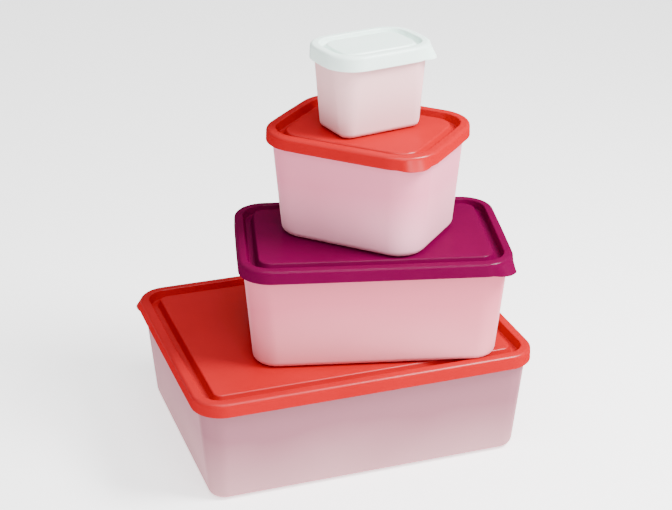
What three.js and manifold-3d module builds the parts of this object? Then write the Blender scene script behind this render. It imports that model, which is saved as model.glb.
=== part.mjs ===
// Four snap-lid food containers stacked one on another, each turned a little on the one below.
// Every container is a tapered tub with a lipped mouth and a one-piece moulded lid, whose skirt
// goes over the lip and whose groove dips inside the mouth. Millimetres, +Z up, the origin at
// the centre of the largest tub's base.
import * as THREE from "three";
import { mergeVertices } from "three/addons/utils/BufferGeometryUtils.js";
import Module from "manifold-3d";

const wasm = await Module();
wasm.setup();

// ---- dimensions shared by the four containers ----
const CORNER_FACETS = 5; // straight facets round each corner of an outline
const FOOT_FACETS = 3; // facets of the round between base and wall
const REST_GAP = 0.3; // between a lid's panel and the tub standing on it
const LID_WALL = 1.4; // thickness of a lid
const TUB_WALL = 1.5; // thickness of a tub's walls
const TUB_FLOOR = 1.8; // thickness of a tub's base
const SEAT_GAP = 0.3; // between the lip's top and the lid over it
const SKIRT_DRAFT = 0.3; // how far the skirt leans in over its height
const LIP_HEIGHT = 5.0; // of the tub's lip
const LIP_INSET = 2.4; // of the lip's outer face from the lid's outline
const BEAD_INSET = 1.95; // of the snap bead inside the skirt, just clear of the lip
const TAB_FACETS = 4; // facets round each corner of a pull tab's outline
const TAB_ROUND = 0.4; // radius of those corners, as a share of the tab's width

// ---- one entry per container, from the bottom of the stack to the top ----
// length, width, corner: the lid's outline at the foot of its skirt, and its corner radius
// rimTop, skirt: height of the lid's rim over the tub's base, and how far the skirt hangs down
// rimRound: radius of the lid's outer top edge
// step: from the lid's outline in to the tub's wall; taper: how far each wall leans in to the base
// footCorner, footRound: the base outline's corner radius, and the round between base and wall
// rimInset, panelInset: from the lid's outline in to the rim band's inner edge and to the panel
// groove: depth of the groove between the rim band and the panel
// panelTop: height over the base of the raised panel that carries the next tub
// tab: which corner has the pull tab, how far it reaches out and how wide it is
// at, yaw: where the container stands, and how many degrees it is turned
const CONTAINERS = [
  {
    name: "large", length: 260, width: 199.4, corner: 22.5, rimTop: 85.1,
    skirt: 10.6, rimRound: 2.8, step: 4.2, taper: 6.9, footCorner: 12,
    footRound: 10, rimInset: 7.6, panelInset: 16.4, groove: 7,
    panelTop: 83.9, tab: { side: [-1, 1], reach: 5.4, width: 26 },
    at: [0, 0], yaw: 0, lidColour: 0xdf4b33,
  },
  {
    name: "medium", length: 197.4, width: 127, corner: 23.8, rimTop: 81.8,
    skirt: 10.1, rimRound: 2.8, step: 3.9, taper: 6, footCorner: 18.2,
    footRound: 6.8, rimInset: 6.8, panelInset: 14.8, groove: 6,
    panelTop: 81.6, tab: { side: [1, -1], reach: 4.2, width: 22 },
    at: [22.5, -24.8], yaw: -14, lidColour: 0x96004f,
  },
  {
    name: "small", length: 133, width: 109, corner: 29.5, rimTop: 80.4,
    skirt: 9.4, rimRound: 2.6, step: 4.8, taper: 5.9, footCorner: 20,
    footRound: 7.8, rimInset: 7.2, panelInset: 15, groove: 6.5,
    panelTop: 78.4, tab: { side: [1, -1], reach: 4.2, width: 24 },
    at: [23.9, -14.6], yaw: -45.6, lidColour: 0xdf4b33,
  },
  {
    name: "mini", length: 83.2, width: 59.4, corner: 21.6, rimTop: 62.7,
    skirt: 10.8, rimRound: 2.6, step: 3.9, taper: 5.1, footCorner: 8.5,
    footRound: 5.6, rimInset: 6.4, panelInset: 12.4, groove: 4,
    panelTop: 61.5, tab: { side: [1, -1], reach: 5, width: 16 },
    at: [25.3, -12.8], yaw: 10.6, lidColour: 0xdfeae4,
  },
];
const TUB_COLOUR = 0xe2bfc6;

// A rounded rectangle as a ring of points, counterclockwise seen from above.
function outline(halfX, halfY, radius) {
  const ring = [];
  const corners = [[1, 1, 0], [-1, 1, 1], [-1, -1, 2], [1, -1, 3]];
  for (const [sx, sy, quarter] of corners) {
    const from = (quarter * Math.PI) / 2;
    const round = new THREE.EllipseCurve(
      sx * (halfX - radius), sy * (halfY - radius), radius, radius, from, from + Math.PI / 2);
    ring.push(...round.getPoints(CORNER_FACETS));
  }
  return ring;
}

// A closed body through a list of rings { points, z }: it starts at the face that looks down,
// goes out, up and back in, and ends at the face that looks up.
function loft(rings) {
  const count = rings[0].points.length;
  const positions = [];
  for (const { points, z } of rings) for (const p of points) positions.push(p.x, p.y, z);
  const index = [];
  for (let i = 0; i + 1 < rings.length; i++)
    for (let j = 0; j < count; j++) {
      const a = i * count + j;
      const b = i * count + ((j + 1) % count);
      index.push(a, b, b + count, a, b + count, a + count);
    }
  const last = (rings.length - 1) * count;
  for (const [a, b, c] of THREE.ShapeUtils.triangulateShape(rings[0].points, []))
    index.push(c, b, a);
  for (const [a, b, c] of THREE.ShapeUtils.triangulateShape(rings.at(-1).points, []))
    index.push(last + a, last + b, last + c);
  const geometry = new THREE.BufferGeometry();
  geometry.setAttribute("position", new THREE.Float32BufferAttribute(positions, 3));
  geometry.setIndex(index);
  return geometry;
}

// Rings of one container from a profile of [inset, z, corner radius], with insets measured from
// the lid's outline.
function ringsOf(box, profile) {
  return profile.map(([inset, z, radius]) => ({
    points: outline(box.length / 2 - inset, box.width / 2 - inset, Math.max(radius, 1)),
    z,
  }));
}

// Points of a quarter round in a profile, from the angle that looks out to the one that looks
// along z: centre [inset, z], radius, and which way along z it goes.
function quarterRound(inset, z, radius, up, facets) {
  const points = [];
  for (let i = 0; i <= facets; i++) {
    const turn = ((i / facets) * Math.PI) / 2;
    points.push([inset - radius * Math.cos(turn), z + up * radius * Math.sin(turn)]);
  }
  return points;
}

function toManifold(geometry) {
  const merged = mergeVertices(geometry);
  return new wasm.Manifold(new wasm.Mesh({
    numProp: 3,
    vertProperties: new Float32Array(merged.attributes.position.array),
    triVerts: new Uint32Array(merged.index.array),
  }));
}

function toGeometry(manifold) {
  const mesh = manifold.getMesh();
  const geometry = new THREE.BufferGeometry();
  geometry.setAttribute("position", new THREE.Float32BufferAttribute(mesh.vertProperties, 3));
  geometry.setIndex([...mesh.triVerts]);
  return geometry;
}

// The inset of a tub's outer wall at a height: it leans in from the skirt's foot to the base.
function wallInset(box, z) {
  const foot = box.rimTop - box.skirt;
  return box.step + box.taper * (1 - z / foot);
}

// The corner radius of a tub's outer wall at a height.
function wallCorner(box, z) {
  return THREE.MathUtils.lerp(box.footCorner, box.corner - box.step, z / box.rimTop);
}

function tubGeometry(box) {
  const outer = (z, extra = 0) => [wallInset(box, z) + extra, z, wallCorner(box, z) - extra];
  const lipTop = box.rimTop - LID_WALL - SEAT_GAP;
  const lipFoot = lipTop - LIP_HEIGHT;
  const lipCorner = box.corner - LIP_INSET;
  const footWall = wallInset(box, box.footRound);
  const foot = quarterRound(footWall + box.footRound, box.footRound, box.footRound, -1, FOOT_FACETS)
    .map(([inset, z]) => [inset, z, wallCorner(box, z) - (inset - wallInset(box, z))])
    .reverse();
  const insideRound = box.footRound - TUB_WALL;
  const floorWall = wallInset(box, TUB_FLOOR + insideRound) + TUB_WALL;
  const floor = quarterRound(
    floorWall + insideRound, TUB_FLOOR + insideRound, insideRound, -1, FOOT_FACETS)
    .map(([inset, z]) => [inset, z, wallCorner(box, z) - (inset - wallInset(box, z))]);
  return loft(ringsOf(box, [
    ...foot,
    outer(lipFoot - 0.6),
    [LIP_INSET + 0.3, lipFoot, lipCorner - 0.3],
    [LIP_INSET, lipFoot + 0.6, lipCorner],
    [LIP_INSET, lipTop - 1, lipCorner],
    [LIP_INSET + 0.9, lipTop, lipCorner - 0.9],
    outer(lipTop, TUB_WALL - 0.5),
    outer(lipTop - 0.8, TUB_WALL),
    ...floor,
  ]));
}

// A pull tab: a wedge at one corner that grows out of the skirt towards its foot. Its inner part
// is cut away so that it joins the skirt's outer face and leaves the mouth clear.
function tabBody(box) {
  const { side: [sx, sy], reach, width } = box.tab;
  const foot = box.rimTop - box.skirt;
  const diagonal = Math.atan2(sy, sx);
  const inner = box.corner * (1 - Math.SQRT1_2);
  const apex = new THREE.Vector2(sx * (box.length / 2 - inner), sy * (box.width / 2 - inner));
  const depth = box.corner / 2;
  const ring = (out, wide, z) => {
    const points = [];
    const halfX = (depth + out) / 2;
    const round = Math.min(wide * TAB_ROUND, halfX * 0.9);
    for (const [cx, cy, quarter] of [[1, 1, 0], [-1, 1, 1], [-1, -1, 2], [1, -1, 3]]) {
      const from = (quarter * Math.PI) / 2;
      const arc = new THREE.EllipseCurve(
        out - halfX + cx * (halfX - round), cy * (wide / 2 - round), round, round, from,
        from + Math.PI / 2);
      for (const p of arc.getPoints(TAB_FACETS))
        points.push(p.rotateAround(new THREE.Vector2(), diagonal).add(apex));
    }
    return { points, z };
  };
  const wedge = toManifold(loft([
    ring(reach - 0.5, width - 1, foot),
    ring(reach, width, foot + 0.5),
    ring(reach, width, foot + 1.3),
    ring(reach - 0.9, width - 1.5, foot + 2),
    ring(-0.6, width * 0.6, foot + box.skirt * 0.75),
  ]));
  const mouth = toManifold(loft(ringsOf(box, [
    [0.8, foot - 1, box.corner - 0.8],
    [0.8, box.rimTop, box.corner - 0.8],
  ])));
  return wedge.subtract(mouth);
}

function lidGeometry(box) {
  const { rimTop, panelTop, rimInset, panelInset, rimRound } = box;
  const foot = rimTop - box.skirt;
  const groove = rimTop - box.groove;
  const edge = quarterRound(SKIRT_DRAFT + rimRound, rimTop - rimRound, rimRound, 1, 3);
  const profile = [
    // underside, from the panel out to the skirt
    [panelInset + 0.9, panelTop - LID_WALL],
    [panelInset - 1.4, groove - LID_WALL],
    [rimInset + 0.5, groove - LID_WALL],
    [rimInset - 0.4, rimTop - LID_WALL - 0.9],
    [rimInset - 0.9, rimTop - LID_WALL],
    [LID_WALL + 0.9, rimTop - LID_WALL],
    [LID_WALL + 0.2, rimTop - LID_WALL - 0.7],
    [LID_WALL, foot + 2.6],
    [BEAD_INSET, foot + 2],
    [BEAD_INSET, foot + 1.4],
    [LID_WALL - 0.2, foot],
    // outside, up the skirt and over the rim band into the groove
    [0.3, foot],
    [0, foot + 0.4],
    ...edge,
    [rimInset, rimTop],
    [rimInset + 0.8, rimTop - 0.6],
    [rimInset + 1.7, groove],
    [panelInset - 2.2, groove],
    [panelInset - 0.7, panelTop - 0.5],
    [panelInset + 0.3, panelTop],
  ];
  const shell = toManifold(loft(ringsOf(box, profile.map(
    ([inset, z]) => [inset, z, box.corner - inset]))));
  return toGeometry(shell.add(tabBody(box)));
}

const plastic = (colour, roughness) =>
  new THREE.MeshStandardMaterial({ color: colour, roughness, metalness: 0 });

const group = new THREE.Group();
group.name = "stacked_containers";

let base = 0; // height of the next container's base
for (const box of CONTAINERS) {
  const stand = new THREE.Group();
  stand.name = box.name;
  stand.position.set(box.at[0], box.at[1], base);
  stand.rotation.z = THREE.MathUtils.degToRad(box.yaw);
  const tub = new THREE.Mesh(tubGeometry(box), plastic(TUB_COLOUR, 0.45));
  tub.name = box.name + "_tub";
  const lid = new THREE.Mesh(lidGeometry(box), plastic(box.lidColour, 0.4));
  lid.name = box.name + "_lid";
  stand.add(tub, lid);
  group.add(stand);
  base += box.panelTop + REST_GAP;
}

export default group;
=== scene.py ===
"""Looks for the stack of four snap-lid food containers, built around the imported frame.

Every tub and lid of the frame is replaced by a finer shell of the same size: a closed sheet lofted
through rounded outlines, with real fillets, a foot ring, a lip, a snap bead and a corner pull tab.
"""

import math

import bpy
from mathutils import Matrix, Vector


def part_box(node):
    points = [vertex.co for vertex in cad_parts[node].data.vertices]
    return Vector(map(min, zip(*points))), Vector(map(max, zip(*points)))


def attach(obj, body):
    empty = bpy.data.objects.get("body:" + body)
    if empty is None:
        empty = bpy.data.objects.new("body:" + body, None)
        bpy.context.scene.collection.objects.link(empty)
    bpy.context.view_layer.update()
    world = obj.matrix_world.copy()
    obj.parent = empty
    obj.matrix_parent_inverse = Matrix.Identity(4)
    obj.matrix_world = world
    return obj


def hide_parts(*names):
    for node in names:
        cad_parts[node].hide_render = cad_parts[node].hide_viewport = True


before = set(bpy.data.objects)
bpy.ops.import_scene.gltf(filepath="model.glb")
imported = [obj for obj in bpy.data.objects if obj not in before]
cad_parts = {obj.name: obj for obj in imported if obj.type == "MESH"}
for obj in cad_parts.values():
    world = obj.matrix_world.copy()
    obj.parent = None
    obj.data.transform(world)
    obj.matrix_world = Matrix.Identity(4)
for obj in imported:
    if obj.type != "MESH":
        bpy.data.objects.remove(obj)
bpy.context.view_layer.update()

MM = 0.001
CORNER_STEPS = 18  # segments round each corner of an outline
SIDE_STEPS = 10  # segments along each side of an outline
FILLET_STEPS = 5  # segments round each fillet of a profile

# The design's own numbers, in millimetres, as in part.mjs.
LID_WALL = 1.4
TUB_WALL = 1.5
TUB_FLOOR = 1.8
SEAT_GAP = 0.3
SKIRT_DRAFT = 0.3
LIP_HEIGHT = 5.0
LIP_INSET = 2.4
BEAD_INSET = 1.95

CONTAINERS = [
    dict(
        name="large", length=260, width=199.4, corner=22.5, rim=85.1, skirt=10.6,
        rim_round=2.8, step=4.2, taper=6.9, foot_corner=12, foot_round=10,
        rim_inset=7.6, panel_inset=16.4, groove=7, panel=83.9,
        tab=(-1, 1), reach=5.4, tab_width=26, flare=1.1, yaw=0, lid="coral",
    ),
    dict(
        name="medium", length=197.4, width=127, corner=23.8, rim=81.8, skirt=10.1,
        rim_round=2.8, step=3.9, taper=6, foot_corner=18.2, foot_round=6.8,
        rim_inset=6.8, panel_inset=14.8, groove=6, panel=81.6,
        tab=(1, -1), reach=6, tab_width=22, flare=2, yaw=-14, lid="purple",
    ),
    dict(
        name="small", length=133, width=109, corner=29.5, rim=80.4, skirt=9.4,
        rim_round=2.6, step=4.8, taper=5.9, foot_corner=20, foot_round=7.8,
        rim_inset=7.2, panel_inset=15, groove=6.5, panel=78.4,
        tab=(1, -1), reach=4.2, tab_width=24, flare=1.6, yaw=-45.6, lid="coral",
    ),
    dict(
        name="mini", length=83.2, width=59.4, corner=21.6, rim=62.7, skirt=10.8,
        rim_round=2.6, step=3.9, taper=5.1, foot_corner=8.5, foot_round=5.6,
        rim_inset=6.4, panel_inset=12.4, groove=4, panel=61.5,
        tab=(1, -1), reach=5, tab_width=16, flare=2.2, yaw=10.6, lid="mint",
    ),
]


# ---------------------------------------------------------------- camera and light

CAMERA_AZIMUTH = math.radians(-19.34)
CAMERA_PITCH = math.radians(24.70)  # how far it looks down
CAMERA_ROLL = math.radians(0.23)
CAMERA_LENS = 86.23  # focal length in millimetres, on a sensor 36 wide
FLOOR_HALF = 14.0  # half a side of the square floor
PAST_THE_FLOOR = 2.4  # how bright the room looks beyond the floor's edge
RIGHT = Vector((math.cos(CAMERA_AZIMUTH), math.sin(CAMERA_AZIMUTH), 0))
AWAY = Vector((-math.sin(CAMERA_AZIMUTH), math.cos(CAMERA_AZIMUTH), 0))
UP = Vector((0, 0, 1))


def make_camera():
    data = bpy.data.cameras.new("camera")
    data.sensor_width = 36
    data.lens = CAMERA_LENS
    data.clip_start = 0.05
    data.clip_end = 30
    cam = bpy.data.objects.new("camera", data)
    bpy.context.collection.objects.link(cam)
    cam.location = RIGHT * 0.00445 - AWAY * 1.09717 + UP * 0.64433
    look = AWAY * math.cos(CAMERA_PITCH) - UP * math.sin(CAMERA_PITCH)
    cam.rotation_mode = "QUATERNION"
    q = look.to_track_quat("-Z", "Y")
    side = q @ Vector((1, 0, 0))
    top = q @ Vector((0, 1, 0))
    rolled_side = side * math.cos(CAMERA_ROLL) + top * math.sin(CAMERA_ROLL)
    rolled_top = -side * math.sin(CAMERA_ROLL) + top * math.cos(CAMERA_ROLL)
    turn = Matrix((rolled_side, rolled_top, -look)).transposed()
    cam.rotation_quaternion = turn.to_quaternion()
    bpy.context.scene.camera = cam


def area_light(name, where, size, watts):
    """A white softbox that faces the middle of the stack."""
    data = bpy.data.lights.new(name, "AREA")
    data.shape = "RECTANGLE"
    data.size, data.size_y = size
    data.energy = watts
    lamp = bpy.data.objects.new(name, data)
    bpy.context.collection.objects.link(lamp)
    lamp.location = where
    lamp.rotation_mode = "QUATERNION"
    middle = Vector((0, 0, 0.15))
    lamp.rotation_quaternion = (middle - where).to_track_quat("-Z", "Y")


def make_stage():
    world = bpy.data.worlds.new("studio")
    bpy.context.scene.world = world
    world.use_nodes = True
    back = world.node_tree.nodes["Background"]
    back.inputs["Color"].default_value = (1, 1, 1, 1)
    # The room is bright overhead and dim near the horizon; past the floor it shows pale.
    tree = world.node_tree
    coords = tree.nodes.new("ShaderNodeTexCoord")
    height = tree.nodes.new("ShaderNodeSeparateXYZ")
    glow = tree.nodes.new("ShaderNodeMapRange")
    glow.interpolation_type = "SMOOTHSTEP"
    glow.inputs["From Min"].default_value = 0.15
    glow.inputs["From Max"].default_value = 0.75
    glow.inputs["To Min"].default_value = 0.22
    glow.inputs["To Max"].default_value = 0.95
    seen = tree.nodes.new("ShaderNodeLightPath")
    pale = tree.nodes.new("ShaderNodeMix")
    pale.inputs[3].default_value = PAST_THE_FLOOR
    tree.links.new(coords.outputs["Generated"], height.inputs["Vector"])
    tree.links.new(height.outputs["Z"], glow.inputs["Value"])
    tree.links.new(seen.outputs["Is Camera Ray"], pale.inputs[0])
    tree.links.new(glow.outputs["Result"], pale.inputs[2])
    tree.links.new(pale.outputs[0], back.inputs["Strength"])

    area_light("key", RIGHT * 0.7 - AWAY * 0.26 + UP * 0.98, (0.4, 0.4), 36)
    area_light("top", UP * 1.6 - AWAY * 0.5, (1.0, 0.16), 12)
    area_light("front", RIGHT * 0.25 - AWAY * 0.95 + UP * 0.85, (0.6, 0.4), 7)

    mesh = bpy.data.meshes.new("floor")
    s = FLOOR_HALF
    mesh.from_pydata([(-s, -s, 0), (s, -s, 0), (s, s, 0), (-s, s, 0)], [], [(0, 1, 2, 3)])
    floor = bpy.data.objects.new("floor", mesh)
    floor.location.z = -0.0002
    bpy.context.collection.objects.link(floor)
    mat = bpy.data.materials.new("pale_floor")
    mat.use_nodes = True
    p = mat.node_tree.nodes["Principled BSDF"]
    p.inputs["Base Color"].default_value = (0.92, 0.92, 0.92, 1)
    p.inputs["Roughness"].default_value = 0.9
    p.inputs["Emission Color"].default_value = (1, 1, 1, 1)
    p.inputs["Emission Strength"].default_value = 1.4
    mesh.materials.append(mat)


# ---------------------------------------------------------------- materials


class Nodes:
    """A short way to make and join shader nodes."""

    def __init__(self, name):
        self.mat = bpy.data.materials.new(name)
        self.mat.use_nodes = True
        self.tree = self.mat.node_tree
        self.shader = self.tree.nodes["Principled BSDF"]
        self.out = self.tree.nodes["Material Output"]
        coords = self.tree.nodes.new("ShaderNodeTexCoord")
        self.position = coords.outputs["Object"]

    def noise(self, scale, detail, stretch=None):
        n = self.tree.nodes.new("ShaderNodeTexNoise")
        n.inputs["Scale"].default_value = scale
        n.inputs["Detail"].default_value = detail
        n.inputs["Roughness"].default_value = 0.55
        where = self.position
        if stretch:
            m = self.tree.nodes.new("ShaderNodeMapping")
            m.inputs["Scale"].default_value = stretch
            self.link(where, m.inputs["Vector"])
            where = m.outputs["Vector"]
        self.link(where, n.inputs["Vector"])
        return n.outputs["Fac"]

    def ramp(self, value, stops):
        n = self.tree.nodes.new("ShaderNodeValToRGB")
        ramp = n.color_ramp
        while len(ramp.elements) < len(stops):
            ramp.elements.new(0.5)
        for e, (at, colour) in zip(ramp.elements, stops):
            e.position = at
            e.color = (*colour, 1)
        self.link(value, n.inputs["Fac"])
        return n.outputs["Color"]

    def span(self, value, low, high, to_low, to_high):
        n = self.tree.nodes.new("ShaderNodeMapRange")
        n.inputs["From Min"].default_value = low
        n.inputs["From Max"].default_value = high
        n.inputs["To Min"].default_value = to_low
        n.inputs["To Max"].default_value = to_high
        self.link(value, n.inputs["Value"])
        return n.outputs["Result"]

    def bump(self, value, strength, distance, normal=None):
        n = self.tree.nodes.new("ShaderNodeBump")
        n.inputs["Strength"].default_value = strength
        n.inputs["Distance"].default_value = distance
        self.link(value, n.inputs["Height"])
        if normal:
            self.link(normal, n.inputs["Normal"])
        return n.outputs["Normal"]

    def link(self, a, b):
        self.tree.links.new(a, b)

    def upright(self, side, top):
        """A value that goes from side on walls to top on faces that look up."""
        normal = self.tree.nodes.new("ShaderNodeNewGeometry").outputs["Normal"]
        parts = self.tree.nodes.new("ShaderNodeSeparateXYZ")
        self.link(normal, parts.inputs["Vector"])
        return self.span(parts.outputs["Z"], 0.2, 0.6, side, top)

    def hollow_side(self, centre):
        """A value of 1 on walls that face the upright line through centre and on floors."""
        offset = self.tree.nodes.new("ShaderNodeVectorMath")
        offset.operation = "SUBTRACT"
        self.link(self.position, offset.inputs[0])
        offset.inputs[1].default_value = (centre.x, centre.y, 0)
        flat = self.tree.nodes.new("ShaderNodeVectorMath")
        flat.operation = "MULTIPLY"
        self.link(offset.outputs["Vector"], flat.inputs[0])
        flat.inputs[1].default_value = (1, 1, 0)
        dot = self.tree.nodes.new("ShaderNodeVectorMath")
        dot.operation = "DOT_PRODUCT"
        self.link(flat.outputs["Vector"], dot.inputs[0])
        self.link(self.tree.nodes.new("ShaderNodeNewGeometry").outputs["Normal"], dot.inputs[1])
        either = self.tree.nodes.new("ShaderNodeMath")
        either.operation = "MAXIMUM"
        self.link(self.span(dot.outputs["Value"], -0.004, 0.0, 1, 0), either.inputs[0])
        self.link(self.upright(0, 1), either.inputs[1])
        return either.outputs["Value"]

    def gloss(self, surface, share, rough, normal):
        """Mixes a faint gloss, the same at every angle, into a surface and puts it out."""
        shine = self.tree.nodes.new("ShaderNodeBsdfGlossy")
        shine.inputs["Roughness"].default_value = rough
        self.link(normal, shine.inputs["Normal"])
        mix = self.tree.nodes.new("ShaderNodeMixShader")
        if isinstance(share, float):
            mix.inputs["Fac"].default_value = share
        else:
            self.link(share, mix.inputs["Fac"])
        self.link(surface, mix.inputs[1])
        self.link(shine.outputs["BSDF"], mix.inputs[2])
        self.link(mix.outputs["Shader"], self.out.inputs["Surface"])


# Colours that all the tubs share, a painted edge glow and the milky inside, and how much light
# goes through their walls.
PAINTED_EDGE_GLOW = (1.0, 0.6, 0.65, 1)
MILKY = (0.93, 0.76, 0.78, 1)
LIGHT_THROUGH = 0.22


def lid_plastic(name, colour, deep, rough, shine, subsurface, radius):
    """Moulded polythene: a little uneven in colour, satin, with a fine skin and faint rubs."""
    n = Nodes(name)
    cloud = n.noise(14, 3)
    n.link(n.ramp(cloud, [(0.3, deep), (0.7, colour)]), n.shader.inputs["Base Color"])
    rubs = n.noise(90, 4, stretch=(1, 0.25, 1))
    n.link(n.span(rubs, 0.3, 0.7, rough - 0.05, rough + 0.07), n.shader.inputs["Roughness"])
    skin = n.noise(1400, 2)
    wave = n.noise(22, 2)
    first = n.bump(wave, 0.12, 0.0006)
    normal = n.bump(skin, 0.12, 0.00006, first)
    n.link(normal, n.shader.inputs["Normal"])
    n.shader.inputs["IOR"].default_value = 1.5
    n.shader.inputs["Specular IOR Level"].default_value = 0.0
    n.shader.inputs["Subsurface Weight"].default_value = subsurface
    n.shader.inputs["Subsurface Radius"].default_value = radius
    n.shader.inputs["Subsurface Scale"].default_value = 0.003
    n.gloss(n.shader.outputs["BSDF"], n.upright(shine * 0.1, shine), rough, normal)
    return n.mat


def tub_plastic_painted_glow(name, foot, wall, low, high, centre):
    """Frosted polypropylene; some light goes through its thin walls. Its colour has painted
    light in it: a paler painted glow at the foot and at turning edges, painted shade up the wall.
    """
    n = Nodes(name)
    # Painted glow and shade: by height the colour runs from the paler foot colour to the darker
    # wall colour.
    split_z = n.tree.nodes.new("ShaderNodeSeparateXYZ")
    n.link(n.position, split_z.inputs["Vector"])
    height = n.span(split_z.outputs["Z"], low, high, 0, 0.9)
    add = n.tree.nodes.new("ShaderNodeMath")
    add.operation = "ADD"
    n.link(height, add.inputs[0])
    n.link(n.span(n.noise(10, 2), 0.3, 0.7, -0.05, 0.1), add.inputs[1])
    body = n.ramp(add.outputs["Value"], [(0.0, foot), (0.55, wall)])
    # Painted edge glow: where a wall turns away from the view its colour is painted paler,
    # standing in for light seen through more plastic.
    edge = n.tree.nodes.new("ShaderNodeLayerWeight")
    edge.inputs["Blend"].default_value = 0.25
    pale = n.tree.nodes.new("ShaderNodeMix")
    pale.data_type = "RGBA"
    n.link(n.span(edge.outputs["Facing"], 0.35, 0.9, 0.0, 0.6), pale.inputs["Factor"])
    n.link(body, pale.inputs[6])
    pale.inputs[7].default_value = PAINTED_EDGE_GLOW
    # The hollow side is the plain milky plastic.
    milky = n.tree.nodes.new("ShaderNodeMix")
    milky.data_type = "RGBA"
    n.link(n.hollow_side(centre), milky.inputs["Factor"])
    n.link(pale.outputs[2], milky.inputs[6])
    milky.inputs[7].default_value = MILKY
    tint_with_painted_glow = milky.outputs[2]
    n.link(tint_with_painted_glow, n.shader.inputs["Base Color"])
    rubs = n.noise(60, 4, stretch=(1, 1, 0.2))
    n.link(n.span(rubs, 0.3, 0.7, 0.4, 0.55), n.shader.inputs["Roughness"])
    frost = n.noise(2200, 2)
    wave = n.noise(16, 2)
    first = n.bump(wave, 0.15, 0.0006)
    normal = n.bump(frost, 0.25, 0.00008, first)
    n.link(normal, n.shader.inputs["Normal"])
    n.shader.inputs["IOR"].default_value = 1.49
    n.shader.inputs["Specular IOR Level"].default_value = 0.0
    glow = n.tree.nodes.new("ShaderNodeBsdfTranslucent")
    n.link(tint_with_painted_glow, glow.inputs["Color"])
    mix = n.tree.nodes.new("ShaderNodeMixShader")
    mix.inputs["Fac"].default_value = LIGHT_THROUGH
    n.link(n.shader.outputs["BSDF"], mix.inputs[1])
    n.link(glow.outputs["BSDF"], mix.inputs[2])
    n.gloss(mix.outputs["Shader"], 0.012, 0.4, normal)
    return n.mat


# ---------------------------------------------------------------- shells


def rounded(points):
    """A profile of (inset, z, radius) with each inner corner turned into an arc."""
    out = []
    last = len(points) - 1
    for i, (x, z, r) in enumerate(points):
        p = Vector((x, z))
        if i in (0, last) or r <= 0:
            out.append((x, z))
            continue
        a = Vector(points[i - 1][:2]) - p
        b = Vector(points[i + 1][:2]) - p
        la, lb = a.length, b.length
        a.normalize()
        b.normalize()
        angle = a.angle(b)
        if angle > 3.1:
            out.append((x, z))
            continue
        t = min(r / math.tan(angle / 2), la * 0.48, lb * 0.48)
        r = t * math.tan(angle / 2)
        centre = p + (a + b).normalized() * (r / math.sin(angle / 2))
        start = p + a * t - centre
        end = p + b * t - centre
        a0 = math.atan2(start.y, start.x)
        turn = (math.atan2(end.y, end.x) - a0 + math.pi) % (2 * math.pi) - math.pi
        for k in range(FILLET_STEPS + 1):
            at = a0 + turn * k / FILLET_STEPS
            out.append((centre.x + r * math.cos(at), centre.y + r * math.sin(at)))
    return out


def outline(hx, hy, r, bow=0.0):
    """A rounded rectangle, counterclockwise, whose sides bow outwards by bow in their middle."""
    ring = []
    corners = [(1, 1), (-1, 1), (-1, -1), (1, -1)]
    for k, (sx, sy) in enumerate(corners):
        for j in range(CORNER_STEPS + 1):
            at = math.pi / 2 * (k + j / CORNER_STEPS)
            ring.append(
                Vector((sx * (hx - r) + r * math.cos(at), sy * (hy - r) + r * math.sin(at)))
            )
        nx, ny = corners[(k + 1) % 4]
        at = math.pi / 2 * (k + 1)
        normal = Vector((math.cos(at), math.sin(at)))
        start = ring[-1]
        end = Vector((nx * (hx - r), ny * (hy - r))) + normal * r
        for j in range(1, SIDE_STEPS):
            t = j / SIDE_STEPS
            ring.append(start.lerp(end, t) + normal * bow * 4 * t * (1 - t))
    return ring


def shell(rings, inner=(0.8, 0.55, 0.3)):
    """Vertices and faces of a closed sheet through rings of 3-D points. Its two end faces are
    filled with smaller rings down to a point."""

    def fill(ring):
        middle = sum(ring, Vector()) / len(ring)
        middle.z = ring[0].z
        return [[middle.lerp(p, s) for p in ring] for s in inner], middle

    first, first_middle = fill(rings[0])
    last, last_middle = fill(rings[-1])
    rows = first[::-1] + rings + last
    count = len(rings[0])
    verts = [p for row in rows for p in row]
    faces = []
    for i in range(len(rows) - 1):
        for j in range(count):
            a = i * count + j
            b = i * count + (j + 1) % count
            faces.append((a, b, b + count, a + count))
    start = len(verts)
    verts += [first_middle, last_middle]
    top = (len(rows) - 1) * count
    for j in range(count):
        k = (j + 1) % count
        faces.append((start, k, j))
        faces.append((start + 1, top + j, top + k))
    return verts, faces


def join(parts):
    verts, faces = [], []
    for v, f in parts:
        n = len(verts)
        verts += v
        faces += [tuple(i + n for i in face) for face in f]
    return verts, faces


def disc(radius, low, high, steps=40):
    """A small round pad with soft edges, such as the mark that a moulding gate leaves."""
    edge = min(0.3, (high - low) / 2)
    rings = []
    turns = [2 * math.pi * j / steps for j in range(steps)]
    for r, z in ((radius * 0.6, low), (radius, low), (radius, high - edge), (radius - edge, high)):
        rings.append([Vector((r * math.cos(at), r * math.sin(at), z)) for at in turns])
    return shell(rings, inner=(0.5,))


def split(profile, low, high, pieces):
    """Adds points to each part of the profile that climbs or falls from low to high."""
    out = [profile[0]]
    for a, b in zip(profile, profile[1:]):
        if min(a[1], b[1]) >= low - 1e-6 and max(a[1], b[1]) <= high + 1e-6:
            if abs(b[1] - a[1]) > (high - low) / pieces:
                for k in range(1, pieces):
                    t = k / pieces
                    out.append((a[0] + (b[0] - a[0]) * t, a[1] + (b[1] - a[1]) * t))
        out.append(b)
    return out


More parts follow.
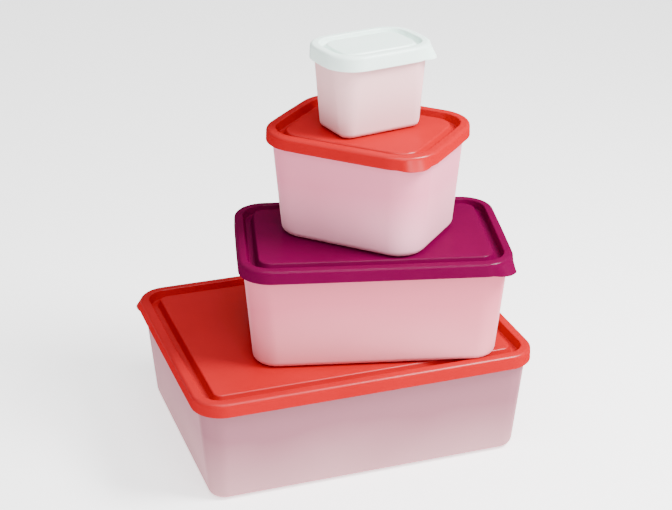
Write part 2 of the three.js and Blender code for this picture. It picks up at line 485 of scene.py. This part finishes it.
def lid_parts(c):
    """A lid in its container's own frame: panel, groove, rim, skirt, bead and pull tab."""
    foot = c["rim"] - c["skirt"]
    groove = c["rim"] - c["groove"]
    rim, panel, ri, pi = c["rim"], c["panel"], c["rim_inset"], c["panel_inset"]
    profile = rounded(
        [
            (pi + 5, panel - LID_WALL, 0),
            (pi + 0.9, panel - LID_WALL, 1.0),
            (pi - 1.4, groove - LID_WALL, 1.0),
            (ri + 0.5, groove - LID_WALL, 1.0),
            (ri - 0.6, rim - LID_WALL, 0.8),
            (LID_WALL + 0.2, rim - LID_WALL, 1.2),
            (LID_WALL, foot + 2.6, 0.3),
            (BEAD_INSET, foot + 2.0, 0.3),
            (BEAD_INSET, foot + 1.4, 0.3),
            (LID_WALL - 0.2, foot + 0.5, 0.3),
            (LID_WALL - 0.2, foot, 0.25),
            (0.0, foot, 0.45),
            (SKIRT_DRAFT, rim, c["rim_round"]),
            (ri, rim, 1.1),
            (ri + 1.7, groove, 1.2),
            (pi - 2.2, groove, 1.2),
            (pi, panel, 1.5),
            (pi + 5, panel, 0),
        ]
    )
    profile = split(profile, foot, rim - c["rim_round"], 10)
    sx, sy = c["tab"]
    away = Vector((sx, sy)).normalized()
    across = Vector((-away.y, away.x))
    inner = c["corner"] * (1 - math.sqrt(0.5))
    apex = Vector((sx * (c["length"] / 2 - inner), sy * (c["width"] / 2 - inner)))
    rings = []
    for inset, z in profile:
        hx, hy = c["length"] / 2 - inset, c["width"] / 2 - inset
        ring = outline(hx, hy, max(c["corner"] - inset, 1.5), bow=0.2)
        points = []
        climb = (z - foot) / c["skirt"]
        for p in ring:
            if inset < LID_WALL - 0.4 and climb < 0.85:
                s = abs((p - apex).dot(across)) / (c["tab_width"] / 2)
                near = (p - apex).length < c["tab_width"]
                if near and s < 1:
                    wide = math.cos(s * math.pi / 2) ** 0.7 if s > 0 else 1
                    flare = max(0.0, 1 - climb / 0.8) ** c["flare"]
                    p = p + away * c["reach"] * min(1, wide * 1.15) * flare
            points.append(Vector((p.x, p.y, z)))
        rings.append(points)
    return [shell(rings)]


def tub_parts(c):
    """A tub in its container's own frame: foot ring, tapered wall and lip, and a pad below."""
    skirt_foot = c["rim"] - c["skirt"]

    def wall(z):
        return c["step"] + c["taper"] * (1 - z / skirt_foot)

    def corner(z):
        return c["foot_corner"] + (c["corner"] - c["step"] - c["foot_corner"]) * z / c["rim"]

    lip_top = c["rim"] - LID_WALL - SEAT_GAP
    lip_foot = lip_top - LIP_HEIGHT
    fr = c["foot_round"]
    profile = rounded(
        [
            (wall(0) + fr + 9, 0.6, 0),
            (wall(0) + fr + 4, 0.6, 0.6),
            (wall(0) + fr + 2.8, 0.0, 0.6),
            (wall(0), 0.0, fr),
            (wall(lip_foot - 0.6), lip_foot - 0.6, 0.5),
            (LIP_INSET, lip_foot, 0.5),
            (LIP_INSET, lip_top, 1.0),
            (wall(lip_top) + TUB_WALL, lip_top, 0.7),
            (wall(TUB_FLOOR) + TUB_WALL, TUB_FLOOR, fr - TUB_WALL),
            (wall(0) + fr + 9, TUB_FLOOR, 0),
        ]
    )
    profile = split(profile, fr * 0.9, lip_foot, 8)
    rings = []
    for inset, z in profile:
        hx, hy = c["length"] / 2 - inset, c["width"] / 2 - inset
        depth = inset - wall(z)
        r = corner(z) - depth if inset > LIP_INSET + 0.6 else c["corner"] - inset
        bow = 0.5 * math.sin(math.pi * min(max(z / lip_foot, 0), 1))
        rings.append(
            [Vector((p.x, p.y, z)) for p in outline(hx, hy, max(r, 2.0), bow=bow)]
        )
    return [shell(rings), disc(3.2, 0.25, 1.2)]


def place(name, parts, c, centre, base, material, body):
    """Turns and moves the parts to where the body stands, as one piece that replaces it."""
    verts, faces = join(parts)
    yaw = math.radians(c["yaw"])
    cs, sn = math.cos(yaw), math.sin(yaw)
    placed = [
        (
            centre.x + (cs * v.x - sn * v.y) * MM,
            centre.y + (sn * v.x + cs * v.y) * MM,
            base + v.z * MM,
        )
        for v in verts
    ]
    mesh = bpy.data.meshes.new(name)
    mesh.from_pydata(placed, [], faces)
    mesh.validate()
    mesh.polygons.foreach_set("use_smooth", [True] * len(mesh.polygons))
    mesh.materials.append(material)
    piece = bpy.data.objects.new(name, mesh)
    bpy.context.collection.objects.link(piece)
    weighted = piece.modifiers.new("weighted", "WEIGHTED_NORMAL")
    weighted.keep_sharp = True
    weighted.weight = 60
    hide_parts(body)
    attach(piece, body)
    return piece


# ---------------------------------------------------------------- the stack

make_camera()
make_stage()

LIDS = {
    "coral": lid_plastic(
        "coral_plastic", colour=(0.375, 0.003, 0.007), deep=(0.34, 0.002, 0.005),
        rough=0.3, shine=0.028, subsurface=0.03, radius=(1, 0.1, 0.1),
    ),
    "purple": lid_plastic(
        "purple_plastic", colour=(0.105, 0.0, 0.031), deep=(0.093, 0.0, 0.027),
        rough=0.18, shine=0.01, subsurface=0.03, radius=(1, 0.1, 0.5),
    ),
    "mint": lid_plastic(
        "mint_plastic", colour=(0.8, 0.97, 0.9), deep=(0.74, 0.94, 0.86),
        rough=0.25, shine=0.04, subsurface=0.3, radius=(1, 1, 1),
    ),
}
# Each tub's colour near its foot and on its walls, with painted light in it: the pink is painted
# reflected light from the coloured lids. The paler foot is a painted glow, the darker walls are
# painted shade under the lid above, and the higher tubs are painted brighter.
TUB_PAINTED_LIGHT_TINTS = {
    "large": ((0.6, 0.32, 0.35), (0.36, 0.145, 0.185)),
    "medium": ((0.98, 0.33, 0.39), (0.8, 0.19, 0.27)),
    "small": ((0.97, 0.46, 0.58), (0.86, 0.26, 0.38)),
    "mini": ((1.0, 0.58, 0.62), (1.0, 0.6, 0.62)),
}

for c in CONTAINERS:
    tub, lid = c["name"] + "_tub", c["name"] + "_lid"
    low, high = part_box(tub)
    centre = Vector(((low[0] + high[0]) / 2, (low[1] + high[1]) / 2))
    base = low[2]
    painted_foot_glow, painted_wall_light = TUB_PAINTED_LIGHT_TINTS[c["name"]]
    rim = base + c["rim"] * MM
    # The tub's material carries the painted glow, painted reflected light and painted shade above.
    frosted_painted_glow = tub_plastic_painted_glow("frosted_" + c["name"], painted_foot_glow, painted_wall_light, base, rim, centre)
    piece = place(c["name"] + "_container_tub", tub_parts(c), c, centre, base, frosted_painted_glow, tub)
    piece = place(c["name"] + "_container_lid", lid_parts(c), c, centre, base, LIDS[c["lid"]], lid)
